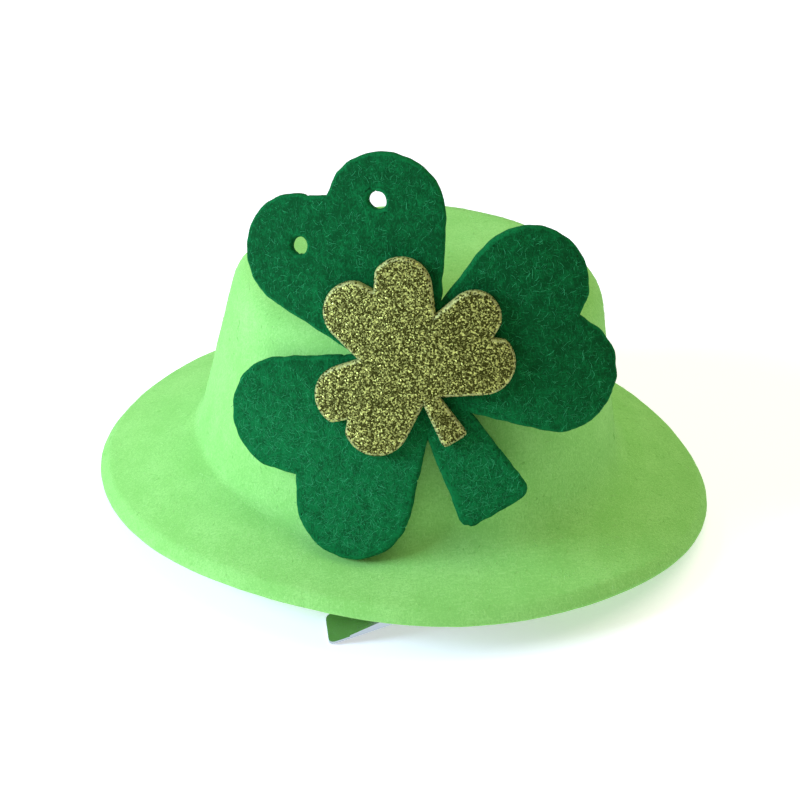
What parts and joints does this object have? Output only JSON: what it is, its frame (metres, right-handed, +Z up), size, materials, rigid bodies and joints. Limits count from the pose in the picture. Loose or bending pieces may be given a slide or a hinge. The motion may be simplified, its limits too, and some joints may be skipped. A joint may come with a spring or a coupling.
{
  "type": "mini top hat hair clip",
  "caption": "Small moulded felt top hat with a felt and a glitter-foam shamrock on its crown, fastened in the hair by a sprung steel clip under the brim.",
  "frame": {"origin": "on the surface that the hat rests on, under the middle of its bounding box", "axes": "+X to the hat's right as seen from the front, along the brim's longer diameter; -Y to the front, where the shamrocks are; +Z up"},
  "size_m": [0.1296, 0.112, 0.0892],
  "materials": {
    "lime_felt": "moulded wool-look felt, lime green",
    "green_felt": "stiff die-cut felt, dark green",
    "gold_glitter_foam": "foam sheet faced with gold glitter",
    "plated_steel": "stamped, bright plated"
  },
  "bodies": {
    "hat": {"hat_shell": "lime_felt", "felt_shamrock": "green_felt", "glitter_shamrock": "gold_glitter_foam", "clip_upper_arm": "plated_steel", "clip_pin": "plated_steel", "clip_spring": "plated_steel"},
    "lever": {"clip_lower_arm": "plated_steel"}
  },
  "joints": [
    {"name": "lever_squeeze", "type": "hinge", "parent": "hat", "child": "lever", "pos_m": [0.0029, -0.04625, 0.00779], "axis": [-0.1727, 0.9848, 0.0174], "range_deg": [0, 25], "stiffness_Nm_per_rad": 0.004, "springref_deg": -57.3}
  ]
}
